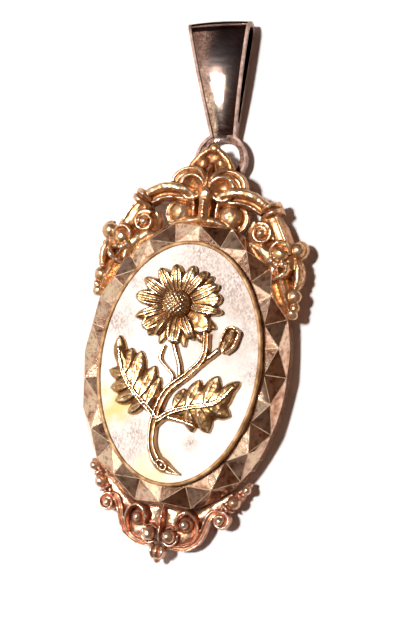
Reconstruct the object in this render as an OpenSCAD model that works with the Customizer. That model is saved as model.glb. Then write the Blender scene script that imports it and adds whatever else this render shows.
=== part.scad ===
// Reliquary pendant: an oval case with a cut bezel, a raised daisy spray and a swinging bail.
// It lies on its back. The back of the case is z = 0, +Y points to the bail and +Z is the front.

/* [Case] */
// Width of the case over its side wall
case_w = 25.5; // [25.1:0.1:26.2]
// Length of the case over its side wall
case_l = 35; // [34.6:0.1:35.8]
// Height of the bezel's inner edge above the back, where the grooves meet it
bezel_h = 4.45; // [4.35:0.05:4.55]
// How far each pyramid's ridge stands above the grooves at the inner edge
ridge_rise = 0.35; // [0.2:0.05:0.4]
// Height of the pyramids' points above the back
point_h = 4.9; // [4.75:0.05:5]
// Height of the grooves between the pyramids where they reach the side wall
groove_h = 3.2; // [3.05:0.05:3.35]
// Distance from the side wall in to the pyramids' points
point_inset = 0.9; // [0.7:0.05:1]
// Number of cut pyramids round the bezel
point_count = 14; // [12:2:16]
// Thickness of the back plate
back_t = 0.85; // [0.6:0.05:1]

/* [Plaque] */
// Width of the pale oval plaque
plaque_w = 19.15; // [18.9:0.05:19.4]
// Length of the plaque
plaque_l = 28.4; // [28.2:0.1:28.8]
// Thickness of the plaque
plaque_t = 1.2; // [1:0.05:1.3]
// Height of the plaque's front above the back
plaque_h = 5.5; // [5.4:0.05:5.6]
// Width of the wire that holds the plaque
rim_w = 0.44; // [0.36:0.02:0.5]
// How far the wire stands above the plaque
rim_rise = 0.25; // [0.15:0.05:0.35]

/* [Daisy spray] */
// Radius of the flower over its longest petals
flower_r = 5.6; // [5.2:0.05:5.8]
// Height of the flower's domed centre above the plaque
dome_h = 2; // [1.6:0.1:2.2]
// Height of the petals above the plaque
petal_h = 1.15; // [0.9:0.05:1.3]
// Height of the leaves above the plaque
leaf_h = 0.8; // [0.6:0.05:1]

/* [Bail] */
// Length of the bail from the centre of its ring to the top of its fold
bail_l = 17.1; // [16:0.1:18]
// Width of the bail at its top
bail_top_w = 8.2; // [7.5:0.1:9]
// Width of the bail at its neck
bail_neck_w = 2.6; // [2.4:0.05:2.9]
// Diameter of the flat ring at the foot of the bail
ring_d = 6.5; // [6.3:0.05:6.6]
// Diameter of the hole in that ring
ring_hole_d = 4.7; // [4.6:0.02:4.8]
// Thickness of the folded strip
strip_t = 0.55; // [0.5:0.01:0.58]
// Depth of the fold at the top
fold_d = 3.2; // [2.8:0.1:3.4]
// Width of the raised border round the polished panel
border_w = 0.34; // [0.28:0.02:0.44]
// Depth of the panel below its border
panel_drop = 0.18; // [0.1:0.02:0.22]
// Angle at which the bail leans to the left
bail_lean = 9.5; // [0:0.5:10]

/* [Loop behind the crest] */
// Inner diameter of the loop
loop_bore = 1.95; // [1.9:0.05:2.1]
// Thickness of the loop's wire
loop_wire = 0.5; // [0.4:0.05:0.5]

/* [Hidden] */

gold = "#c98f5e";
rose_gold = "#bd8a74";
pale_gold = "#d9b08c";
cream = "#efe6d2";

// Gaps between neighbouring pieces: solder seam, and slip of the plaque in its seat
seam = 0.04;
slip = 0.04;

// Case: sectors of the bezel, sides of its ovals and its inner hollow
oval_sides = 84;
wall_parts = 4;
side_bevel = 0.35;
edge_dip = 0.45;
bezel_land = 0.2;
wall_swell = 0.02;
spread_once = 5.2;
spread_twice = 1.2;
seat_z = plaque_h - plaque_t;
seat_t = 0.8;
hollow_wall = 1.35;
hollow_step = 1.9;

// Bail: where the loop holds it, the angle round its ring at which it is held, and how far its hand-bent
// strip stands askew and to the right of the ring
hinge_y = 22.8;
hinge_z = 1.5;
ring_roll = -10;
fold_skew = 3;
strip_shift = 0.3;
strip_over = 0.5;
finial_back = 3.08;
ring_mid_r = (ring_d + ring_hole_d) / 4;
fold_r = fold_d / 2;
fold_y = bail_l - fold_r;
neck_y = 2.6;
curve_steps = 12;
fold_steps = 10;

// Shares of half width and of height at the corners of a raised strand's section
SECTION = [[-1, 0], [-0.85, 0.65], [0, 1], [0.85, 0.65], [1, 0]];
bead_sides = 10;

// The ornament's places are given for a case of this size, and follow the case when it changes
drawn_w = 25.5;
drawn_l = 35;
function fit(x, y) = [x * case_w / drawn_w, y * case_l / drawn_l];

// Point of an oval at an angle from +Y towards +X
function oval(half_w, half_l, a) = [half_w * sin(a), half_l * cos(a)];

// Angle that spaces equal turns evenly along the oval
function even(a) = a + spread_once * sin(2 * a) + spread_twice * sin(4 * a);

// Point of the side wall, which is a little squarer than an oval
function wall_point(half_w, half_l, a) = oval(half_w, half_l, a) * (1 + wall_swell * pow(sin(2 * a), 2));

function oval_points(half_w, half_l, sides) =
    [for (i = [0:sides - 1]) oval(half_w, half_l, -i * 360 / sides)];

module oval_slab(w, l, z0, z1) {
    translate([0, 0, z0])
        linear_extrude(z1 - z0)
            polygon(oval_points(w / 2, l / 2, oval_sides));
}

// Smooth row number t of a table, between rows b and c
function blend_rows(a, b, c, d, t) =
    (2 * b + (c - a) * t + (2 * a - 5 * b + 4 * c - d) * t * t + (3 * b - a - 3 * c + d) * t * t * t) / 2;

function smooth(rows, steps = 2) =
    let (last = len(rows) - 1)
    [for (i = [0:last - 1], k = [0:steps - 1])
        blend_rows(rows[max(i - 1, 0)], rows[i], rows[i + 1], rows[min(i + 2, last)], k / steps),
     rows[last]];

function heading(rows, i) =
    let (a = rows[max(i - 1, 0)], b = rows[min(i + 1, len(rows) - 1)], d = [b.x - a.x, b.y - a.y])
    d / norm(d);

// Raised strand with a flat back. Each row is [x, y, half width, back z, front z]
module strand(rows) {
    n = len(SECTION);
    ends = len(rows) - 1;
    points = [for (i = [0:ends], s = SECTION)
        let (r = rows[i], h = heading(rows, i), place = fit(r.x, r.y))
        [place.x - h.y * s.x * r[2], place.y + h.x * s.x * r[2], r[3] + s.y * (r[4] - r[3])]];
    sides = [for (i = [0:ends - 1], j = [0:n - 1], half = [0, 1])
        let (a = i * n + j, b = i * n + (j + 1) % n)
        half == 0 ? [a, b, b + n] : [a, b + n, a + n]];
    caps = [[for (j = [n - 1:-1:0]) j], [for (j = [0:n - 1]) ends * n + j]];
    polyhedron(points, concat(sides, caps));
}

// Ball on a stem that reaches down to the back of its casting
module bead(x, y, r, z, back, sides = bead_sides) {
    place = fit(x, y);
    hull() {
        translate([place.x, place.y, z])
            sphere(r, $fn = sides);
        translate([place.x, place.y, back])
            cylinder(h = 0.2, r = 0.75 * r, $fn = sides);
    }
}

// Flat web between two round ends. Each end is [x, y, radius]
module web(a, b, back, front) {
    hull()
        for (end = [a, b])
            translate([each fit(end.x, end.y), back])
                cylinder(h = front - back, r = end.z, $fn = bead_sides);
}

// Coiled rows that run inwards: centre, outer and inner radius, first angle, turn, width, back and front
function coil(x, y, r0, r1, a0, turn, half_w, back, front, steps = 12) =
    [for (i = [0:steps])
        let (t = i / steps, r = r0 + (r1 - r0) * t, a = a0 + turn * t)
        [x + r * cos(a), y + r * sin(a), half_w * (1 - 0.35 * t), back, front + 0.25 * t]];

module both_sides() {
    children();
    mirror([1, 0, 0])
        children();
}

// Solid form of the case under its cut bezel, grown all round by a seam
module bezel_form(grow = 0) {
    sector = 360 / point_count;
    half_w = case_w / 2 + grow;
    half_l = case_l / 2 + grow;
    around = point_count * wall_parts;
    land_w = plaque_w / 2 + rim_w + bezel_land + grow;
    land_l = plaque_l / 2 + rim_w + bezel_land + grow;

    // Tips of the pyramids, and ends of their valleys and ridges on the land round the plaque
    tips = [for (k = [0:point_count - 1])
        [each oval(half_w - point_inset, half_l - point_inset, even(k * sector)), point_h + grow]];
    valleys = [for (k = [0:point_count - 1])
        [each oval(land_w, land_l, even((k + 0.5) * sector)), bezel_h + grow]];
    ridges = [for (k = [0:point_count - 1])
        [each oval(land_w, land_l, even(k * sector)), bezel_h + ridge_rise + grow]];

    // Upper edge of the side wall, which dips where each pyramid's outer face meets it
    edge = [for (j = [0:around - 1])
        let (k = floor(j / wall_parts), share = (j % wall_parts) / wall_parts)
        [each wall_point(half_w, half_l, even((k - 0.5 + share) * sector)),
            groove_h + grow - edge_dip * sin(180 * share)]];
    wall = [for (p = edge) [p.x, p.y, side_bevel - grow]];
    foot = [for (p = edge) [p.x * (1 - side_bevel / half_w), p.y * (1 - side_bevel / half_l), -grow]];

    // Places of the rings in the list of points
    wall_at = around;
    foot_at = 2 * around;
    tip_at = 3 * around;
    valley_at = tip_at + point_count;
    ridge_at = valley_at + point_count;
    middle_at = ridge_at + point_count;

    bands = [for (j = [0:around - 1], part = [0:3])
        let (next = (j + 1) % around)
        part == 0 ? [j, wall_at + next, next]
        : part == 1 ? [j, wall_at + j, wall_at + next]
        : part == 2 ? [wall_at + j, foot_at + next, wall_at + next]
        : [wall_at + j, foot_at + j, foot_at + next]];
    outer_faces = [for (j = [0:around - 1])
        [j, (j + 1) % around, tip_at + floor(j / wall_parts)]];
    cuts = [for (k = [0:point_count - 1], part = [0:3])
        let (
            next = (k + 1) % point_count,
            foot_k = next * wall_parts,
            back = (k + point_count - 1) % point_count
        )
        part == 0 ? [tip_at + k, foot_k, valley_at + k]
        : part == 1 ? [valley_at + k, foot_k, tip_at + next]
        : part == 2 ? [valley_at + back, tip_at + k, ridge_at + k]
        : [ridge_at + k, tip_at + k, valley_at + k]];
    land = [for (k = [0:point_count - 1], half = [0, 1])
        half == 0 ? [ridge_at + k, valley_at + k, middle_at]
        : [valley_at + k, ridge_at + (k + 1) % point_count, middle_at]];
    base = [for (j = [around - 1:-1:0]) foot_at + j];
    polyhedron(
        concat(edge, wall, foot, tips, valleys, ridges, [[0, 0, bezel_h]]),
        concat(bands, outer_faces, cuts, land, [base]));
}

module case() {
    color(rose_gold)
        difference() {
            bezel_form();
            // Seat for the rim and plaque, and the light hollow under it
            oval_slab(
                plaque_w + 2 * (rim_w + slip), plaque_l + 2 * (rim_w + slip), seat_z, plaque_h);
            oval_slab(plaque_w - hollow_wall, plaque_l - hollow_wall, 1, seat_z + 1);
            oval_slab(
                case_w - 2 * hollow_wall, case_l - 2 * hollow_wall, back_t + slip, back_t + hollow_step);
            oval_slab(
                plaque_w + hollow_wall, plaque_l + hollow_wall, back_t + slip, seat_z - seat_t);
            // Recess for the back plate
            oval_slab(case_w - hollow_wall, case_l - hollow_wall, -1, back_t + slip);
        }
}

module back_plate() {
    color(rose_gold)
        oval_slab(case_w - hollow_wall - 2 * slip, case_l - hollow_wall - 2 * slip, 0, back_t);
}

module plaque() {
    color(cream)
        oval_slab(plaque_w, plaque_l, seat_z + slip, plaque_h);
}

module rim() {
    top = plaque_h + rim_rise;
    rounding = rim_w / 4;
    color(gold)
        difference() {
            union() {
                oval_slab(plaque_w + 2 * rim_w, plaque_l + 2 * rim_w, seat_z + slip, top - rounding);
                oval_slab(
                    plaque_w + 2 * rim_w - 2 * rounding,
                    plaque_l + 2 * rim_w - 2 * rounding, top - 1, top);
            }
            oval_slab(plaque_w + 2 * slip, plaque_l + 2 * slip, seat_z, top + 1);
        }
}

// Flower: centre on the plaque. The petals stand on the plaque, so the spray's back is just over it
flower_at = [-0.85, 6.85];
spray_back = plaque_h + slip;
spray_left = 0.1;
dome_r = 1.7;
petal_sides = 8;

// Petals in front, and the lobes that show between and behind them
PETALS = [
    // angle from +X, share of the flower's radius, half width
    [100, 0.86, 0.72],
    [74, 0.9, 0.66],
    [55, 0.93, 0.7],
    [31, 0.98, 0.7],
    [16, 0.97, 0.95],
    [-4, 1, 0.6],
    [-32, 0.9, 1.15],
    [-58, 0.84, 0.72],
    [-89, 0.85, 0.92],
    [-118, 0.82, 0.5],
    [-140, 0.92, 0.95],
    [-157, 0.98, 0.6],
    [175, 0.96, 0.92],
    [150, 0.94, 0.76],
    [124, 0.88, 0.76]
];
BACK_PETALS = [
    // angle from +X, share of the flower's radius, half width
    [-25, 1, 0.6],
    [-52, 1, 0.62],
    [-73, 0.92, 0.5],
    [-113, 0.92, 0.5],
    [-128, 0.92, 0.55],
    [44, 0.98, 0.5]
];

module petal(turn, reach, half_w, rise) {
    root = [1.4, 0.4, 0.7];
    belly = [reach - half_w - 0.3, half_w, 1];
    tip = [reach - 0.4, 0.4, 0.6];
    hull()
        for (part = [root, belly, tip])
            translate([each fit(flower_at.x, flower_at.y), spray_back])
                rotate(turn)
                    translate([part.x, 0, 0])
                        cylinder(h = rise * part.z, r1 = part.y, r2 = part.y * 0.5, $fn = petal_sides);
}

// Lobe of a leaf from its root to its tip
module lobe(x0, y0, x1, y1, half_w, rise = leaf_h) {
    hull()
        for (part = [[0, 0.3, 0.8], [0.55, half_w, 1], [1, 0.12, 0.4]])
            translate([each fit(x0 + (x1 - x0) * part.x, y0 + (y1 - y0) * part.x), spray_back])
                cylinder(h = rise * part.z, r1 = part.y, r2 = part.y * 0.5, $fn = petal_sides);
}

// Lobes of the two leaves
LOBES = [
    // root x, root y, tip x, tip y, half width
    [-6.6, -1.6, -7.6, 2.1, 0.95],
    [-6.1, -2.1, -5.8, 0.95, 0.95],
    [-4.9, -3.6, -4.6, 0.75, 1.15],
    [-3.8, -4.6, -2.6, -0.8, 1.1],
    [-2.9, -5.5, -1.8, -1.95, 0.85],
    [-5.9, -2.3, -8.2, -2.2, 0.8],
    [-5.2, -3.4, -7.7, -4.2, 0.95],
    [-4.3, -4.3, -6.9, -5.7, 0.9],
    [-3.3, -5.2, -5.2, -6.8, 0.75],
    [5.6, -3.7, 7.7, -1.3, 0.8],
    [4.1, -4.3, 5.2, -1, 1.15],
    [2, -5, 3.1, -1.75, 1],
    [0.4, -5.4, 1.4, -2.9, 0.8],
    [4.4, -4.4, 7.2, -5.4, 1.1],
    [3.3, -4.7, 5, -7.7, 1.15],
    [2.1, -5.1, 3.1, -7.9, 0.95]
];

// Stems. Each has its height, and rows of [x, y, half width]
STEMS = [
    // Main stem from the flower down to its pointed foot
    [0.85, [[3.1, 3.6, 0.42], [3.15, 1, 0.42], [1.55, -1.2, 0.45], [-0.75, -3.6, 0.48], [-1.7, -6.85, 0.5],
        [-1.7, -9.6, 0.45], [-0.9, -11.5, 0.5], [0.35, -12.35, 0.62], [2.25, -12.9, 0.08]]],
    // Stalk of the bud
    [0.75, [[5.3, 2.5, 0.36], [3.05, 0.3, 0.33], [0.95, -1.75, 0.35]]],
    // Second stem under the flower
    [0.65, [[-0.95, 2, 0.3], [0.3, -0.3, 0.33], [0.65, -2.35, 0.35]]],
    // Tendril
    [0.55, [[-1.85, 1.6, 0.16], [-2.15, 0.3, 0.26], [-1.35, -0.6, 0.16], [-0.3, -1.65, 0.2],
            [-0.35, -3.5, 0.3]]],
    // Midrib of the left leaf
    [0.8, [[-1.65, -6.85, 0.4], [-2.4, -6, 0.36], [-4.6, -4.25, 0.3], [-6.5, -1.9, 0.26],
           [-7.4, 0.8, 0.12]]],
    // Midrib of the right leaf, and the vein below it
    [0.8, [[-1.45, -7.15, 0.35], [0.05, -5.95, 0.32], [2.2, -5.05, 0.3], [5.4, -4.05, 0.25],
           [7.3, -1.9, 0.12]]],
    [0.7, [[-1.45, -7.65, 0.35], [-0.55, -6.65, 0.34], [1.3, -6.7, 0.3], [3.3, -7.1, 0.2]]]
];

// Blades of the two leaves under their lobes. Rows of [x, y, half width]
BLADES = [
    [[-2.2, -6, 0.5], [-3.8, -4.2, 1.5], [-5.2, -2.8, 1.6], [-6.5, -1, 1], [-7.3, 0.8, 0.5]],
    [[0.3, -5.9, 0.5], [2.5, -4.9, 1.6], [4.6, -4.2, 1.8], [6.2, -3.2, 1.1], [7.2, -1.9, 0.4]]
];

module spray() {
    place = fit(flower_at.x, flower_at.y);
    color(gold)
        translate([-spray_left, 0, 0]) {
            for (row = PETALS)
                petal(row[0], row[1] * flower_r, row[2], petal_h);
            for (row = BACK_PETALS)
                petal(row[0], row[1] * flower_r, row[2], petal_h / 2);
            translate([place.x, place.y, spray_back])
                hull() {
                    cylinder(h = 0.9, r = dome_r, $fn = 20);
                    cylinder(h = 0.8 * dome_h, r = 0.72 * dome_r, $fn = 16);
                    cylinder(h = dome_h, r = 0.3 * dome_r, $fn = 12);
                }
            for (row = LOBES)
                lobe(row[0], row[1], row[2], row[3], row[4]);
            for (blade = BLADES)
                strand(smooth([for (r = blade) [r.x, r.y, r.z, spray_back, spray_back + 0.7 * leaf_h]]));
            for (stem = STEMS)
                strand(smooth([for (r = stem[1]) [r.x, r.y, r.z, spray_back, spray_back + stem[0]]]));
            // Two sepals of the bud on its stalk
            lobe(4.6, 1.8, 5.9, 5.2, 0.7, petal_h);
            lobe(4.8, 1.8, 7.1, 4.4, 0.7, petal_h);
        }
}

// Beads of one side of the crest
CREST_BEADS = [
    // x, y, radius, centre z, back z
    [9.85, 14.55, 1.05, 4.1, 2],
    [11.8, 15.3, 0.98, 2.9, 1.6],
    [12.2, 12.55, 0.72, 3, 1.7],
    [12.4, 9.65, 0.85, 3, 1.9],
    [12.5, 7.6, 0.76, 3.1, 1.9],
    [3.25, 18.5, 1.3, 3.4, 1.9],
    [1.75, 21.3, 1.2, 4, 3.12],
    [3.9, 22.3, 0.62, 3.4, 2.9],
    [7.25, 16.8, 0.52, 4.3, 2],
    [1.1, 24.85, 0.95, 3.65, 2.9]
];

// Raised bands of one side of the crest: x, y, half width, back z, front z
CREST_BANDS = [
    // Arm from the middle over to the collar
    [[1.8, 19.9, 0.5, 2.4, 4.2], [3.1, 20.75, 0.75, 2.4, 4.6], [4.9, 20.85, 0.8, 2.2, 4.7],
        [6.8, 20.2, 0.8, 1.9, 4.2], [8.1, 19, 0.85, 1.7, 3.9]],
    // Stem that widens from the collar down past the volute and runs along the flank
    [[7.9, 19.4, 0.9, 1.7, 3.9], [8.9, 17.7, 0.95, 1.7, 3.9], [9.7, 16.1, 0.95, 1.7, 3.8],
        [10.7, 14, 1.15, 1.7, 3.7], [11.3, 12, 1.15, 1.7, 4], [11.8, 10.1, 0.95, 1.8, 3.7],
        [12.3, 7.7, 0.5, 1.9, 3.3]],
    // Rim of the hollow curl
    [[0.5, 21, 0.24, 3.12, 4.6], [0.7, 22.3, 0.28, 3.12, 5], [1.7, 22.85, 0.32, 3.12, 5],
        [3, 22.4, 0.32, 3.12, 4.8], [3.5, 21.2, 0.28, 3.12, 4.4]],
    // Outer leaf of the curl
    [[2.4, 23.5, 0.25, 3, 3.8], [3.6, 23.2, 0.4, 2.9, 4], [4.4, 22.2, 0.4, 2.8, 4],
     [4.5, 21, 0.3, 2.6, 3.8]],
    // Inner leaf that runs down the flank on the bezel's side
    [[8.7, 15, 0.8, 2, 4.3], [9.9, 12.9, 0.75, 2, 4.6], [10.6, 10.9, 0.75, 2, 4.5],
     [11.6, 8.4, 0.4, 2, 3.7]],
    // Side leaf of the finial
    [[0.2, 22.6, 0.35, 3.12, 4.3], [1.2, 23.4, 0.5, 3.08, 4.5], [2, 24.5, 0.4, 2.95, 4],
        [1.6, 25.6, 0.25, 2.85, 3.6]]
];

// Two rings round a stem
module collar(x, y, turn) {
    half_l = 1.4;
    half_w = 0.34;
    half_h = 1.25;
    end_r = 0.7;
    for (step = [-half_w - seam, half_w + seam])
        translate([each fit(x, y), 3.05])
            rotate(turn)
                translate([0, step, 0])
                    hull()
                        for (end = [-1, 1])
                            translate([end * (half_l - end_r), 0, 0])
                                scale([end_r, half_w, half_h])
                                    sphere(1, $fn = bead_sides);
}

module crest() {
    color(pale_gold)
        difference() {
            union() {
                both_sides() {
                    for (row = CREST_BEADS)
                        bead(row[0], row[1], row[2], row[3], row[4]);
                    for (rows = CREST_BANDS)
                        strand(smooth(rows));
                    collar(8.15, 19.7, 28);
                    strand(coil(7.25, 16.8, 1.15, 0.85, 60, -380, 0.34, 2.02, 4));
                    web([7.3, 16.7, 1.35], [9.4, 15.2, 1.1], 1.93, 3.2);
                    web([6.7, 16.3, 1.2], [9.5, 13.4, 1.1], 1.91, 3.3);
                    web([10, 13.4, 1], [11.7, 9.4, 0.75], 1.95, 3.4);
                    web([1.5, 19.1, 1], [3.25, 18.5, 1.15], 1.97, 3.2);
                    web([1, 22.1, 0.9], [3.4, 21.9, 1.2], 3.16, 3.7);
                }
                // Base lip, collared lobe, its column of small beads, finial rib and ball tip
                strand(smooth([
                    [-4, 17, 0.2, 2.04, 3.2], [-2, 17.5, 0.5, 2.04, 3.9], [0, 17.75, 0.6, 2.04, 4.1],
                    [2, 17.5, 0.5, 2.04, 3.9], [4, 17, 0.2, 2.04, 3.2]]));
                strand(smooth([
                    [0, 17.6, 0.85, 2.08, 4.2], [0, 19, 1, 2.08, 4.8], [0, 20.4, 0.9, 2.15, 5.1],
                    [0, 21.3, 0.4, 2.8, 4.9]]));
                for (i = [0:3])
                    bead(0, 18.2 + 0.62 * i, 0.33, 4.75 + 0.14 * i, 3.6, 8);
                strand(smooth([
                    [0, 21.2, 0.3, 3.2, 4.3], [0, 22.8, 0.5, 3.2, 4.7], [0, 24.6, 0.8, 2.97, 4.2],
                    [0, 26.4, 0.5, 2.85, 3.6]]));
                bead(0, 26.75, 0.55, 3.3, 2.8);
            }
            bezel_form(seam);
        }
}

// Beads of one side of the base ornament
BASE_BEADS = [
    // x, y, radius, centre z, back z
    [9.65, -13.75, 0.56, 2, 1.2],
    [8.45, -15.45, 0.76, 2.2, 1.2],
    [7.15, -17.7, 0.62, 2.6, 1.2],
    [3, -18.85, 0.55, 3.2, 1.2],
    [1.25, -20.65, 0.82, 3.1, 1.2]
];

// Raised bands of one side of the base ornament: x, y, half width, back z, front z
BASE_BANDS = [
    // Outer scroll, from the volute down to the pair of balls
    [[7, -16.5, 0.3, 1.2, 2.8], [5.9, -17.3, 0.45, 1.2, 3.1], [5.3, -18.8, 0.45, 1.2, 2.9],
        [4.85, -20.4, 0.42, 1.15, 2.6], [3.7, -21.6, 0.4, 1.15, 2.4], [2.4, -22, 0.38, 1.15, 2.5],
        [1.1, -21.8, 0.35, 1.15, 2.7]],
    // Scroll that curls round the inner volute
    [[2.6, -21.2, 0.25, 1.2, 2.2], [4, -20.7, 0.32, 1.2, 2.4], [4.5, -19.3, 0.34, 1.2, 2.9],
        [4.1, -17.9, 0.34, 1.2, 3.3], [3.1, -17.3, 0.36, 1.2, 3.6], [2.2, -18.1, 0.34, 1.2, 3.6],
        [2.4, -19.3, 0.22, 1.2, 3.2]],
    // Rail that carries the graded beads up the side of the case
    [[10, -12.9, 0.25, 1.25, 1.9], [9.4, -13.9, 0.55, 1.25, 2.2], [8.2, -15.5, 0.7, 1.25, 2.4],
        [7, -16.9, 0.75, 1.25, 2.5]]
];

module base_ornament() {
    color(rose_gold)
        difference() {
            union() {
                both_sides() {
                    for (row = BASE_BEADS)
                        bead(row[0], row[1], row[2], row[3], row[4]);
                    for (rows = BASE_BANDS)
                        strand(smooth(rows));
                    strand(coil(7.15, -17.7, 0.9, 0.7, 130, 330, 0.26, 1.23, 2.8, 10));
                    web([1.3, -18.8, 2.3], [3, -19.3, 2.3], 1.27, 2.1);
                    web([4.4, -17.7, 1.3], [8.6, -14.4, 0.7], 1.29, 2.1);
                }
                web([-1.5, -20.9, 0.95], [1.5, -20.9, 0.95], 1.31, 2.05);
                // Ridge between the pair of balls, drop bead and its tip
                strand([[0, -17.4, 0.2, 1.33, 2.8], [0, -19, 0.26, 1.33, 3.1], [0, -20.7, 0.26, 1.33, 3.2],
                    [0, -22, 0.22, 1.33, 2.6]]);
                bead(0, -22.65, 1, 2.3, 1.7);
                bead(0, -23.75, 0.42, 2.1, 1.85, 8);
            }
            bezel_form(seam);
        }
}

module bail_loop() {
    loop_r = (loop_bore + loop_wire) / 2;
    color(rose_gold)
        translate([0, hinge_y, hinge_z]) {
            rotate([0, 90, 0])
                rotate_extrude($fn = 48)
                    translate([loop_r, 0])
                        circle(loop_wire / 2, $fn = 24);
            // Post that is soldered under the finial
            translate([0, 0, loop_r])
                cylinder(h = finial_back - seam - hinge_z - loop_r, r = loop_wire * 0.7, $fn = 24);
        }
}

// Height of the bail's front above the middle of its ring: the strip is bent up at the neck, and flattens
// towards the fold
function front_rise(y) =
    let (t = max(0, min(1, (y - neck_y) / (fold_y - neck_y))))
    strip_t + (fold_d - 2 * strip_t) * t * (2 - t);

// Front line of the folded strip from foot to fold, moved outwards by grow
function front_line(grow, from, fold_turn) = concat(
    from < neck_y ? [[from, front_rise(from) + grow]] : [],
    [for (i = [0:curve_steps - 1])
        let (start = max(from, neck_y))
        let (y = start + (fold_y - start) * i / curve_steps)
        [y, front_rise(y) + grow]],
    [for (i = [0:fold_steps])
        let (a = 90 - fold_turn * i / fold_steps)
        [fold_y + (fold_r + grow) * cos(a), fold_r - strip_t + (fold_r + grow) * sin(a)]]);

function backwards(list) = [for (i = [len(list) - 1:-1:0]) list[i]];

// Solid between two heights along the fold, from a side profile of [y, z] points
module across(points) {
    rotate(-fold_skew)
        rotate([90, 0, 90])
            translate([0, 0, -bail_top_w])
                linear_extrude(2 * bail_top_w)
                    polygon(points);
}

// Keyhole outline of the bail, drawn in by an inset
module keyhole(inset) {
    half_top = bail_top_w / 2 - inset;
    half_neck = bail_neck_w / 2 - inset;
    top = bail_l + strip_over;
    circle(ring_d / 2 - inset, $fn = 96);
    translate([strip_shift, 0])
        polygon([[-half_neck, 1], [half_neck, 1], [half_top, top], [-half_top, top]]);
}

module bail_form() {
    foot = -ring_d;
    cavity_from = neck_y + 2;
    panel_turn = asin((fold_r - border_w) / fold_r);
    difference() {
        intersection() {
            translate([0, 0, -fold_d])
                linear_extrude(3 * fold_d)
                    keyhole(0);
            across(concat([[foot, -strip_t]], front_line(0, foot, 180)));
        }
        // Way for a chain, between the front and back of the fold
        across(concat([[cavity_from, 0]], front_line(-strip_t, cavity_from, 180)));
        // Polished panel below its border
        intersection() {
            translate([0, 0, -fold_d])
                linear_extrude(3 * fold_d)
                    keyhole(border_w);
            across(concat(
                front_line(1, foot, panel_turn),
                backwards(front_line(-panel_drop, foot, panel_turn))));
        }
        cylinder(h = 3 * fold_d, d = ring_hole_d, center = true, $fn = 96);
    }
}

// Tilt at which the top of the fold comes down to the plane that the case lies on
fold_lean = bail_lean - fold_skew;
fold_reach = ring_mid_r * cos(ring_roll) + fold_y * cos(fold_lean) + bail_top_w / 2 * sin(fold_lean);
fold_drop = fold_r - strip_t;
settle = asin((hinge_z - fold_r) / norm([fold_reach, fold_drop])) + atan(fold_drop / fold_reach);

module bail() {
    color(rose_gold)
        translate([0, hinge_y, hinge_z])
            rotate([-settle, 0, 0])
                rotate(ring_roll)
                    translate([0, ring_mid_r, 0])
                        rotate(bail_lean - ring_roll)
                            bail_form();
}

case();
back_plate();
plaque();
rim();
spray();
crest();
base_ornament();
bail_loop();
bail();
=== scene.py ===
"""Reliquary pendant lying on its back: the looks of its pieces, in the order of its assembly."""
import math

import bmesh
import bpy
import numpy as np
from mathutils import Matrix, Vector


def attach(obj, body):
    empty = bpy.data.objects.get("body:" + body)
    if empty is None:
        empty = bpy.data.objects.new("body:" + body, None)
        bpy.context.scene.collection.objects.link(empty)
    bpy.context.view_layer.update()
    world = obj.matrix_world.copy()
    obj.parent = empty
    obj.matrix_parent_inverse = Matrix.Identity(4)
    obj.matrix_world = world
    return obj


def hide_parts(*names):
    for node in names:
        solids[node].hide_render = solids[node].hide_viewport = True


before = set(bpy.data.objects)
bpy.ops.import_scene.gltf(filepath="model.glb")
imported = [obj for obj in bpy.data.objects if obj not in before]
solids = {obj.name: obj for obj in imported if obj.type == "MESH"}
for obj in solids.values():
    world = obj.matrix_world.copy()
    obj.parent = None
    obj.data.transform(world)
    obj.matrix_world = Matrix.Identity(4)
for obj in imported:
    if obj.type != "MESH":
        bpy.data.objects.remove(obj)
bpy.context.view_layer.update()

MM = 0.001
scene = bpy.context.scene


# ---- View ----
# The pendant lies on its back and is seen from above, a little from its right side.
# Angles are those of the photograph's camera over the case's own axes.
def put(name, data):
    """Puts data into the scene as an object."""
    piece = bpy.data.objects.new(name, data)
    scene.collection.objects.link(piece)
    return piece


LOOK_AT = Vector((1.9, 5.5, 4.0)) * MM
SIDEWAYS, ENDWAYS, ROLL = math.radians(15.6), math.radians(-3.8), math.radians(8.4)
DISTANCE, PIXELS_DEEP, LENS_PIXELS = 147.8 * MM, 640, 1238

towards = Vector((
    math.sin(SIDEWAYS) * math.cos(ENDWAYS), math.sin(ENDWAYS), math.cos(SIDEWAYS) * math.cos(ENDWAYS)))
level = Vector((0, 1, 0)).cross(towards).normalized()
upright = towards.cross(level)
across = level * math.cos(ROLL) + upright * math.sin(ROLL)
along = upright * math.cos(ROLL) - level * math.sin(ROLL)
lens = bpy.data.cameras.new("view")
lens.sensor_width = 36
lens.lens = lens.sensor_width * LENS_PIXELS / PIXELS_DEEP
lens.clip_start = 0.01
camera = put("view", lens)
turned = Matrix((across, along, towards)).transposed().to_4x4()
camera.matrix_world = Matrix.Translation(LOOK_AT + towards * DISTANCE) @ turned
scene.camera = camera


def merged_copy(node, name):
    """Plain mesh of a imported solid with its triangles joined."""
    mesh = solids[node].data.copy()
    mesh.name = name
    work = bmesh.new()
    work.from_mesh(mesh)
    bmesh.ops.remove_doubles(work, verts=work.verts, dist=0.002 * MM)
    bmesh.ops.dissolve_limit(
        work, angle_limit=math.radians(0.6), verts=work.verts, edges=work.edges,
        use_dissolve_boundaries=False)
    work.to_mesh(mesh)
    work.free()
    return put(name, mesh)


def dress(piece, *materials):
    """Gives a piece its finishes in place of any others."""
    piece.data.materials.clear()
    for material in materials:
        piece.data.materials.append(material)


def settle_shape(piece):
    """Turns a piece's modifiers into its mesh."""
    result = bpy.data.meshes.new_from_object(piece.evaluated_get(bpy.context.evaluated_depsgraph_get()))
    result.name = piece.name
    piece.modifiers.clear()
    piece.data = result
    return piece


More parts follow.
